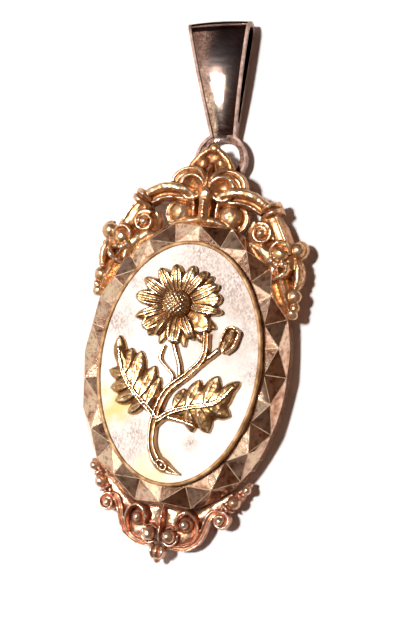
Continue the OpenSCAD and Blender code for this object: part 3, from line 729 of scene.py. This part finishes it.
cavity(daisy, 5, "fine_cavity", 9)
cavity(daisy, 33, "broad_cavity", 2.2)
dress(daisy, cast_gold(
    "relief gold", (0.9, 0.7, 0.48), (0.56, 0.32, 0.13), (0.34, 0.14, 0.05), (0.16, 0.06, 0.02),
    shine=0.22, bare=0.97))
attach(daisy, "pendant")
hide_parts("spray")


# ---- Crest ----
# Pierced casting soldered over the top of the case: a finial of two leaves, hooded curls, a beaded
# column, two arms with double collars, and volutes and balls down each flank. Orange gilt over brown.
OVER_RING = 3.12  # Back of the finial and curls, which lie over the bail's ring
crest = Casting(1.8)


def bowl(share):
    """Height of the smooth bowl in the hooded curl, hollowed out from its rim to its middle."""
    rim, low = 4.5, 3.75
    return low + (rim - low) * min(1, share / 0.85) ** 2 - 2.2 * max(0, share - 0.88)


# Right half, made first
# Arm from the column over to the collar: broad outer edge, groove, and narrow inner edge
crest.strand([
    [1.4, 19.9, 0.6, 2.4, 3.5], [2.6, 20.3, 0.8, 2.4, 3.7], [4.1, 20.5, 0.85, 2.4, 3.75],
    [5.7, 20.2, 0.8, 2.2, 3.6], [7.1, 19.5, 0.7, 2, 3.5]], broad)
crest.strand([
    [1.2, 20.2, 0.35, 2.4, 4.3], [2.6, 20.85, 0.58, 2.4, 4.8], [4.2, 21.1, 0.62, 2.4, 4.95],
    [5.8, 20.9, 0.62, 2.2, 4.75], [7.3, 20.15, 0.58, 2, 4.4], [8.3, 19.5, 0.5, 1.9, 4]], broad)
crest.strand([
    [1.6, 19.5, 0.22, 2.4, 3.9], [2.8, 19.8, 0.28, 2.4, 4.15], [4.2, 19.9, 0.28, 2.4, 4.2],
    [5.6, 19.65, 0.28, 2.2, 4.05], [6.9, 18.95, 0.24, 2, 3.8]])
# Double collar
for step in (-0.42, 0.42):
    dx, dy = -0.47 * step, 0.88 * step
    crest.band(1.9, [
        [7.15 + dx, 18.95 + dy, 0.42, 3.9], [7.6 + dx, 19.2 + dy, 0.46, 4.5],
        [8.3 + dx, 19.6 + dy, 0.48, 4.7], [8.9 + dx, 19.95 + dy, 0.46, 4.3],
        [9.25 + dx, 20.15 + dy, 0.42, 3.4]])
# Stem that flares from the collar: a smooth bright band, with a thin edge line outside it
crest.band(1.8, [
    [8.1, 19.2, 0.8, 3.8], [8.9, 17.8, 1.05, 3.9], [9.7, 16.3, 1.2, 3.75], [10.5, 14.4, 1.35, 3.5],
    [11.2, 12.6, 1.4, 3.5]])
crest.band(1.8, [
    [8.6, 19.1, 0.3, 3.9], [9.5, 17.7, 0.42, 4.05], [10.4, 16, 0.4, 3.8], [10.9, 15.2, 0.3, 3.5]])
# Volute on its disc, fed by a band from the collar, and the web between it and the front ball
crest.ball(7.35, 16.6, 2.75, 1.75, 0.6, 1.9)
crest.scroll(7.35, 16.6, 1.3, 0.62, 120, -500, 0.4, 2.2, 4.05, 60, 0.4)
crest.ball(7.35, 16.6, 4, 0.5)
crest.band(1.9, [[7.3, 18.9, 0.7, 3.7], [7.9, 18, 0.75, 3.9], [8.6, 17, 0.6, 3.9], [8.9, 16, 0.4, 3.8]])
crest.strand([
    [5.3, 15.4, 0.14, 1.9, 3], [6.3, 15.25, 0.6, 1.9, 3.6], [7.5, 14.8, 1, 1.9, 3.9], [8.5, 14, 1.15, 1.9, 4],
    [9.2, 12.8, 0.8, 2, 3.9], [9.4, 11.8, 0.4, 2, 3.8]])
crest.band(1.9, [[5.9, 15.9, 0.3, 3], [5.7, 16.8, 0.34, 3.2], [6.2, 18, 0.36, 3.4]])
# Front ball sunk in its hood, over three lumps
crest.ball(9.95, 14.45, 3.6, 0.98, 0.85)
crest.band(2.5, [
    [8.95, 13.9, 0.24, 4], [8.85, 14.9, 0.36, 4.4], [9.6, 15.7, 0.4, 4.55], [10.7, 15.45, 0.36, 4.3],
    [11.1, 14.5, 0.26, 3.9]])
for x, y in ((9.1, 13.55), (9.75, 13.15), (10.5, 13.2)):
    crest.ball(x, y, 3.85, 0.46, 1, 2)
# Side ball with its ring
crest.ball(11.85, 15.2, 2.9, 0.98, 0.8, 1.9)
crest.scroll(11.9, 15.2, 1.05, 1.05, 100, -220, 0.22, 1.9, 2.9, 30)
# Smooth pointed leaf down the flank, with a ridge and a spur that curls up across it
crest.strand([
    [9.6, 13.2, 0.7, 2, 4], [10.2, 12, 0.98, 2, 4.35], [10.7, 10.7, 1.1, 2, 4.3], [11.3, 9.3, 1, 1.9, 4.05],
    [11.8, 8.1, 0.75, 1.8, 3.6], [12.15, 7.2, 0.4, 1.8, 3]], ribbed)
crest.band(2.2, [
    [9.5, 11.2, 0.3, 4.1], [10.1, 11.55, 0.48, 4.5], [10.8, 12, 0.56, 4.75], [11.15, 12.7, 0.44, 4.6],
    [11.05, 13.3, 0.3, 4.2]])
# Leafy bumps on the outer edge
crest.band(1.8, [
    [11.7, 14.2, 0.3, 3.2], [12.1, 13.4, 0.6, 3.5], [12.35, 12.3, 0.7, 3.5], [12.3, 11.2, 0.6, 3.4],
    [12.1, 10.5, 0.3, 3.2]])
for x, y, r in ((12.25, 13.5, 0.5), (12.45, 12.7, 0.56), (12.5, 11.8, 0.56), (12.35, 11, 0.5)):
    crest.ball(x, y, 2.7, r, 1, 1.9)
# Ball, and the two lumps of the pointed end
crest.ball(12.2, 9.62, 3, 0.9, 0.8, 1.9)
crest.ball(12.45, 8.35, 2.85, 0.6, 1, 1.9)
crest.ball(12.3, 7.55, 2.95, 0.72, 0.9, 1.9)
# Lower lobe with its thin shell, and the post beside the column
crest.ball(3.1, 18.3, 3, 1.45, 0.66, 2)
crest.band(2, [
    [3.3, 19.8, 0.2, 3.4], [4.2, 19.5, 0.34, 3.2], [4.85, 18.6, 0.4, 2.9], [4.7, 17.5, 0.4, 2.8],
    [4.1, 16.7, 0.3, 2.9]], dished)
crest.strand([[1.4, 17.4, 0.34, 2, 3.7], [1.45, 18.6, 0.32, 2, 3.95], [1.55, 19.9, 0.3, 2.1, 4.1]])
# Hooded curl: smooth bowl, hood over it, and an outer leaf behind
crest.plate([(0.1, 20.4), (4, 20.5), (4.6, 21.3), (4.4, 22.6), (3.3, 23.4), (1.6, 23.5), (0.1, 22.8)],
            OVER_RING, 3.5)
crest.round_pad(1.95, 21.3, 1.6, 28, bowl, OVER_RING)
crest.band(OVER_RING, [[0.7, 20.9, 0.3, 4.2], [1.7, 20.75, 0.55, 4.35], [2.9, 21, 0.4, 4.2]])
crest.band(OVER_RING, [
    [0.3, 20.9, 0.2, 4.4], [0.45, 21.8, 0.3, 4.75], [1.05, 22.5, 0.38, 4.9], [2, 22.75, 0.42, 4.85],
    [2.9, 22.4, 0.42, 4.6], [3.5, 21.6, 0.34, 4.3]])
crest.strand([
    [1.4, 23.3, 0.4, OVER_RING, 3.9], [2.7, 23.4, 0.6, 3, 4.1], [3.8, 22.8, 0.7, 3, 4.1],
    [4.3, 21.9, 0.6, 3, 4], [4.4, 21.1, 0.4, 3, 3.9]], fluted)
# Finial: leaf, bud and outer shell
crest.plate([(0, 21.5), (2.6, 22.8), (3.1, 23.6), (2.4, 24.9), (1.4, 25.9), (0.6, 26.6), (0, 26.9)],
            OVER_RING, 3.4)
crest.strand([
    [0.15, 21.6, 0.3, 3.15, 4.5], [0.6, 22.7, 0.46, 3.15, 4.7], [1.3, 23.5, 0.46, OVER_RING, 4.4],
    [2.2, 23.9, 0.3, OVER_RING, 3.9]])
crest.ball(1.2, 24.5, 3.3, 0.8, 0.8, OVER_RING)
crest.band(OVER_RING, [
    [0.35, 26.3, 0.3, 3.8], [1.1, 25.8, 0.42, 3.9], [1.9, 25, 0.46, 3.85], [2.5, 24.1, 0.42, 3.8],
    [2.8, 23.4, 0.3, 3.7]])
crest.mirror()
# Base lip, column with its rounded head and bead line, finial rib and its knob
crest.band(2.05, [
    [-4.2, 16.7, 0.2, 3.3], [-3, 17.05, 0.45, 3.7], [-1.5, 17.35, 0.7, 4.1], [0, 17.5, 0.8, 4.3],
    [1.5, 17.35, 0.7, 4.1], [3, 17.05, 0.45, 3.7], [4.2, 16.7, 0.2, 3.3]])
crest.strand([
    [0, 17.6, 1.05, 2.1, 4.1], [0, 19, 0.95, 2.1, 4.4], [0, 20.4, 0.9, 2.1, 4.6], [0, 21.3, 0.3, 2.4, 4.5]])
crest.strand([
    [0, 17.5, 0.84, 2.1, 4.4], [0, 18.6, 0.86, 2.1, 4.7], [0, 19.8, 0.94, 2.1, 4.95],
    [0, 20.5, 0.92, 2.4, 5.1], [0, 21.05, 0.7, 2.4, 5.05], [0, 21.45, 0.34, 2.4, 4.7]], broad)
for i in range(5):
    crest.ball(0, 17.85 + 0.44 * i, 4.56 + 0.1 * i, 0.27)
crest.strand([
    [0, 21.2, 0.26, 3.15, 4.7], [0, 22.4, 0.4, 3.15, 4.95], [0, 23.6, 0.36, 3.1, 4.7],
    [0, 24.5, 0.24, 3.1, 4.1]], ribbed)
crest.ball(0, 26.35, 3.3, 0.66, 1, 3.05)
gilt_crest = crest.fuse("gilt_crest", voxel=0.1, rounds=2, unevenness=0.22)
cavity(gilt_crest, 4, "fine_cavity", 7)
cavity(gilt_crest, 33, "broad_cavity", 1.6)
dress(gilt_crest, cast_gold(
    "orange gilt", (0.88, 0.7, 0.52), (0.72, 0.4, 0.18), (0.5, 0.21, 0.075), (0.2, 0.07, 0.025),
    shine=0.3, bare=0.9))
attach(gilt_crest, "pendant")
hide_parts("crest")


# ---- Base ornament ----
# Casting soldered under the case: a red-gold field framed by scrolls, with volutes, a pair of balls,
# graded beads on a rail up each side, and a drop like a closed bud.
base = Casting(1.2)
# Right half, made first
# Field, and its smaller cove up the side
base.band(1.25, [[0.2, -17.2, 0.2, 2.1], [1.6, -18.4, 2.1, 2.2], [2.4, -20, 2, 2.1], [1.6, -21.6, 0.8, 2.1]])
base.band(1.25, [[4, -18.2, 0.9, 2.1], [6, -16.6, 1, 2.3], [8.2, -14.6, 0.7, 2.2]])
# Outer scroll from its volute down to the pair of balls
base.band(1.2, [
    [6.9, -16.75, 0.3, 2.9], [6.05, -17.1, 0.42, 3.2], [5.5, -18.2, 0.44, 3.1], [5.15, -19.5, 0.42, 2.9],
    [4.5, -20.8, 0.4, 2.7], [3.3, -21.7, 0.38, 2.6], [1.9, -21.9, 0.34, 2.6], [0.9, -21.6, 0.3, 2.6]], dished)
base.scroll(7.14, -17.75, 1.1, 0.45, 120, -480, 0.26, 1.2, 2.8, 50, 0.3)
base.ball(7.1, -17.8, 2.9, 0.5, 1, 1.3)
base.ball(7.14, -17.75, 2, 1.15, 0.6, 1.25)
# Inner volute: crescent on the side of the middle, and the line that runs round it and down
base.band(1.3, [
    [2.15, -19.7, 0.16, 3], [1.85, -18.8, 0.3, 3.5], [2.2, -17.9, 0.38, 3.7], [3.1, -17.4, 0.36, 3.7],
    [4, -17.8, 0.28, 3.4], [4.45, -18.7, 0.24, 3.1], [4.5, -19.8, 0.22, 2.8], [4.1, -20.8, 0.18, 2.6]])
base.ball(2.98, -18.91, 3, 0.52, 1, 1.4)
base.ball(2.98, -18.91, 2.2, 0.95, 0.6, 1.4)
# Pair of balls in their cups
base.ball(1.26, -20.6, 3, 0.82, 1, 1.3)
base.band(1.3, [
    [2.2, -20.2, 0.18, 2.7], [2.1, -21.2, 0.24, 2.8], [1.3, -21.7, 0.26, 2.8], [0.5, -21.4, 0.2, 2.7]])
base.band(1.3, [[0.55, -19.9, 0.14, 2.7], [1.2, -19.5, 0.2, 2.9], [1.9, -19.8, 0.14, 2.7]])
# Rail with its beads, and the rings between them
base.band(1.25, [
    [10, -12.9, 0.22, 2], [9.5, -13.7, 0.5, 2.3], [8.4, -15.2, 0.7, 2.5], [7.2, -16.6, 0.7, 2.6]], fluted)
base.ball(9.67, -13.74, 2.05, 0.58, 1, 1.25)
base.ball(8.43, -15.45, 2.25, 0.8, 1, 1.25)
base.band(1.25, [[8.5, -14.2, 0.16, 2.6], [9.1, -14.6, 0.2, 2.8], [9.5, -14.8, 0.12, 2.4]])
base.band(1.25, [[7.1, -15.8, 0.16, 2.9], [7.8, -16.3, 0.22, 3.1], [8.4, -16.6, 0.14, 2.7]])
base.mirror()
base.band(1.3, [[0, -17.3, 0.16, 2.9], [0, -18.8, 0.22, 3.25], [0, -20.4, 0.22, 3.3], [0, -21.5, 0.18, 2.8]])
# Bud-shaped drop: body, three petals and tip
base.ball(0, -22.65, 2.2, 0.98)
for x, lean in ((-0.55, -0.5), (0, 0), (0.55, 0.5)):
    base.band(1.9, [[x, -21.9, 0.3, 3.1], [x + 0.25 * lean, -22.6, 0.42, 3.35], [x * 0.7, -23.4, 0.24, 2.8]])
base.ball(0, -23.65, 2.1, 0.42)
red_base = base.fuse("red_gold_base", voxel=0.08, rounds=2, unevenness=0.16)
cavity(red_base, 6, "fine_cavity", 7)
cavity(red_base, 45, "broad_cavity", 1.6)
dress(red_base, cast_gold(
    "coppery rose gold", (0.93, 0.78, 0.62), (0.74, 0.43, 0.26), (0.52, 0.19, 0.1), (0.24, 0.07, 0.04),
    shine=0.27, bare=0.9))
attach(red_base, "pendant")
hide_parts("base_ornament")


# ---- Loop ----
# Ring of round rose gold wire, soldered under the finial by a short post. It holds the bail's flat ring.
loop = merged_copy("bail_loop", "wire_loop")
dress(loop, rubbed_gold(), worn_gold())
wear_edges(loop, 0.04 * MM, 30)
loop.data.shade_smooth()
loop.data.set_sharp_from_angle(angle=math.radians(40))
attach(loop, "pendant")
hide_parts("bail_loop")


# ---- Bail ----
# Strip of rose gold sheet, cut like a keyhole, with a raised border and a slightly domed panel, folded
# over at the top for a chain. The panel was polished, and is covered in fine scratches and dark stains.
# Its upper part carries painted shade.
# Millimetres on the strip's own axes: y runs up from the middle of its ring, and z is its front
BAIL_AT = (
    Matrix.Translation((0, 22.8, 1.5)) @ Matrix.Rotation(math.radians(-2.92), 4, "X")
    @ Matrix.Rotation(math.radians(-10), 4, "Z") @ Matrix.Translation((0, 2.8, 0))
    @ Matrix.Rotation(math.radians(19.5), 4, "Z"))
FOLD_SKEW = math.radians(3)
STRIP_T, FOLD_DEEP, FOLD_FROM, NECK_FROM = 0.55, 3.2, 15.5, 2.6
STRIP_RIGHT, HALF_NECK, HALF_TOP, STRIP_TOP = 0.3, 1.3, 4.1, 17.6
BORDER, PANEL_DROP, CROWN = 0.34, 0.18, 0.2
BULGE, BULGE_FROM = 0.2, 14.5
NEAR = 0.06  # Points this close to a face's height are on that face
ON_PANEL, ON_BORDER, ON_RING = 0, 1, 2  # Places of the finishes among the strip's materials


def front_height(y):
    """Height of the border over the middle of the ring, at a distance up the strip."""
    if y <= FOLD_FROM:
        t = min(1, max(0, (y - NECK_FROM) / (FOLD_FROM - NECK_FROM)))
        return STRIP_T + (FOLD_DEEP - 2 * STRIP_T) * t * (2 - t)
    r = FOLD_DEEP / 2
    return r - STRIP_T + math.sqrt(max(0, r * r - (y - FOLD_FROM) ** 2))


def dome_panel(piece):
    """Facets the strip, finishes its parts, domes its panel, softens its neck and bulges its fold."""
    work = bmesh.new()
    work.from_mesh(piece.data)
    work.transform(BAIL_AT.inverted() @ Matrix.Scale(1 / MM, 4))
    cuts = [((x, 0, 0), (1, 0, 0)) for x in np.arange(-4, 4.6, 0.4)]
    cuts += [((0, y, 0), (0, 1, 0)) for y in np.r_[1.6:4:0.25, 4:17.4:0.5]]
    for place, direction in cuts:
        parts = work.verts[:] + work.edges[:] + work.faces[:]
        bmesh.ops.bisect_plane(work, geom=parts, plane_co=place, plane_no=direction)
    for face in work.faces:
        middle = face.calc_center_median()
        up = middle.x * math.sin(FOLD_SKEW) + middle.y * math.cos(FOLD_SKEW)
        border = abs(face.normal.z) < 0.3 or (face.normal.z > 0 and middle.z > front_height(up) - NEAR)
        ring_end = 1.8 if abs(middle.x) < 0.9 else 2.8
        face.material_index = ON_BORDER if border else ON_RING if middle.y < ring_end else ON_PANEL
    for vertex in work.verts:
        x, y, z = vertex.co
        up = x * math.sin(FOLD_SKEW) + y * math.cos(FOLD_SKEW)
        half_width = HALF_NECK + (HALF_TOP - HALF_NECK) * (y - 1) / (STRIP_TOP - 1) - BORDER
        share = (x - STRIP_RIGHT) / half_width
        if abs(up - NECK_FROM) < 1 and z > front_height(up) - 0.3:
            vertex.co.z += 0.08 * (up - NECK_FROM + 1) ** 2 - max(0, 0.32 * (up - NECK_FROM))
        if y > 2 and abs(share) < 1.15 and abs(z - front_height(up) + PANEL_DROP) < NEAR:
            fade = min(1, (y - 2) / 1.6) * min(1, max(0, (16.7 - up) / 0.9))
            vertex.co.z += CROWN * (1 - share**2) * fade
        if up > BULGE_FROM:
            bulge = BULGE * max(0, 1 - ((x - STRIP_RIGHT) / (HALF_TOP - 0.2)) ** 2)
            vertex.co.y += bulge * min(1, (up - BULGE_FROM) / 2)
    work.transform(Matrix.Scale(MM, 4) @ BAIL_AT)
    work.to_mesh(piece.data)
    work.free()


def crisp_borders(piece):
    """Ends smooth shading where one finish meets the next."""
    work = bmesh.new()
    work.from_mesh(piece.data)
    for edge in work.edges:
        if len({face.material_index for face in edge.link_faces}) > 1:
            edge.smooth = False
    work.to_mesh(piece.data)
    work.free()


def scratched_gold():
    gold = Finish("scratched rose gold")
    scratches = gold.noise(0.35, 5, 0.75, (0.25, 1, 1), 0.9)
    crossing = gold.noise(0.3, 5, 0.75, (1, 0.25, 1), 0.4)
    grain = gold.noise(0.3, 4, 0.7)
    stains = gold.noise(2.6, 4, 0.6)
    tone = gold.ramp(stains, (0.34, (0.3, 0.15, 0.1)), (0.5, (0.56, 0.34, 0.23)), (0.68, (0.8, 0.57, 0.4)))
    tone = gold.darken(tone, gold.ramp(grain, (0.4, 0.35), (0.55, 1)))
    # Painted shade: the upper part of the strip is darkened.
    tone = gold.darken(tone, gold.ramp(gold.up_share(), (0.66, (1, 1, 1)), (0.77, (0.42, 0.34, 0.36))))
    rough = gold.ramp(scratches, (0.35, 0.06), (0.65, 0.11))
    gold.feed(gold.shader.inputs["Coat Weight"], 0.35)
    gold.feed(gold.shader.inputs["Coat Roughness"], 0.24)
    normal = gold.bump(crossing, 0.012, 0.4, gold.bump(scratches, 0.012, 0.4))
    return gold.finish(tone, rough, gold.bump(grain, 0.008, 0.5, normal))


def border_gold():
    gold = Finish("pale rose gold border")
    tone = gold.ramp(gold.noise(0.7), (0.3, (0.36, 0.23, 0.18)), (0.7, (0.7, 0.52, 0.44)))
    return gold.finish(tone, 0.72)


def ring_gold():
    gold = Finish("dull rose gold ring")
    stains = gold.noise(0.6, 4)
    tone = gold.ramp(stains, (0.34, (0.1, 0.045, 0.035)), (0.5, (0.26, 0.15, 0.11)), (0.66, (0.5, 0.33, 0.25)))
    grain = gold.noise(0.2, 4, 0.6)
    return gold.finish(tone, gold.ramp(grain, (0.3, 0.85), (0.65, 0.62)), gold.bump(grain, 0.012, 0.5))


bail = merged_copy("bail", "folded_bail")
dress(bail, scratched_gold(), border_gold(), ring_gold())
dome_panel(bail)
wear_edges(bail, 0.06 * MM, 30)
bail.data.shade_smooth()
bail.data.set_sharp_from_angle(angle=math.radians(28))
crisp_borders(bail)
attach(bail, "bail")
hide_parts("bail")


# ---- Table and light ----
# White table under one small lamp, high and a little to the left. A pale strip and a pale wall light it
# weakly from the left and a brown wall from the right, in a dark brown room.
def white_table():
    paper = Finish("white table", 0.0)
    return paper.finish(paper.ramp(paper.noise(9), (0.3, (0.93, 0.93, 0.93)), (0.7, (0.96, 0.96, 0.96))), 0.7)


TABLE_HALF, TABLE_TOP = 400 * MM, -0.02 * MM
corners = [(x * TABLE_HALF, y * TABLE_HALF, TABLE_TOP) for x, y in ((-1, -1), (1, -1), (1, 1), (-1, 1))]
table = bpy.data.meshes.new("table")
table.from_pydata(corners, [], [(0, 1, 2, 3)])
table.materials.append(white_table())
floor = put("table", table)


def lamp(name, direction, distance, size, radiance, colour):
    """Square or oblong light that looks at the case from a direction."""
    light = bpy.data.lights.new(name, "AREA")
    light.shape = "RECTANGLE"
    light.size, light.size_y = size
    light.energy = radiance * math.pi * size[0] * size[1]
    light.color = colour
    holder = put(name, light)
    aim = Vector(direction).normalized()
    holder.location = aim * distance
    holder.rotation_euler = aim.to_track_quat("Z", "Y").to_euler()


lamp("lamp", (-0.28, 0.06, 0.96), 0.7, (0.08, 0.06), 340, (1.0, 0.985, 0.98))
lamp("bright side", (-0.5, 0.05, 0.86), 0.6, (0.5, 0.13), 1.15, (1.0, 0.98, 0.94))
lamp("left wall", (-0.9, -0.1, 0.42), 0.6, (1.2, 0.5), 0.62, (1.0, 0.9, 0.82))
lamp("far wall", (0.7, 0.0, 0.7), 0.8, (1.4, 0.5), 0.17, (1.0, 0.56, 0.34))

world = bpy.data.worlds.new("room")
scene.world = world
world.use_nodes = True
room = world.node_tree.nodes["Background"]
room.inputs["Color"].default_value = (0.054, 0.026, 0.021, 1)
room.inputs["Strength"].default_value = 1.0
scene.view_settings.view_transform = "Standard"
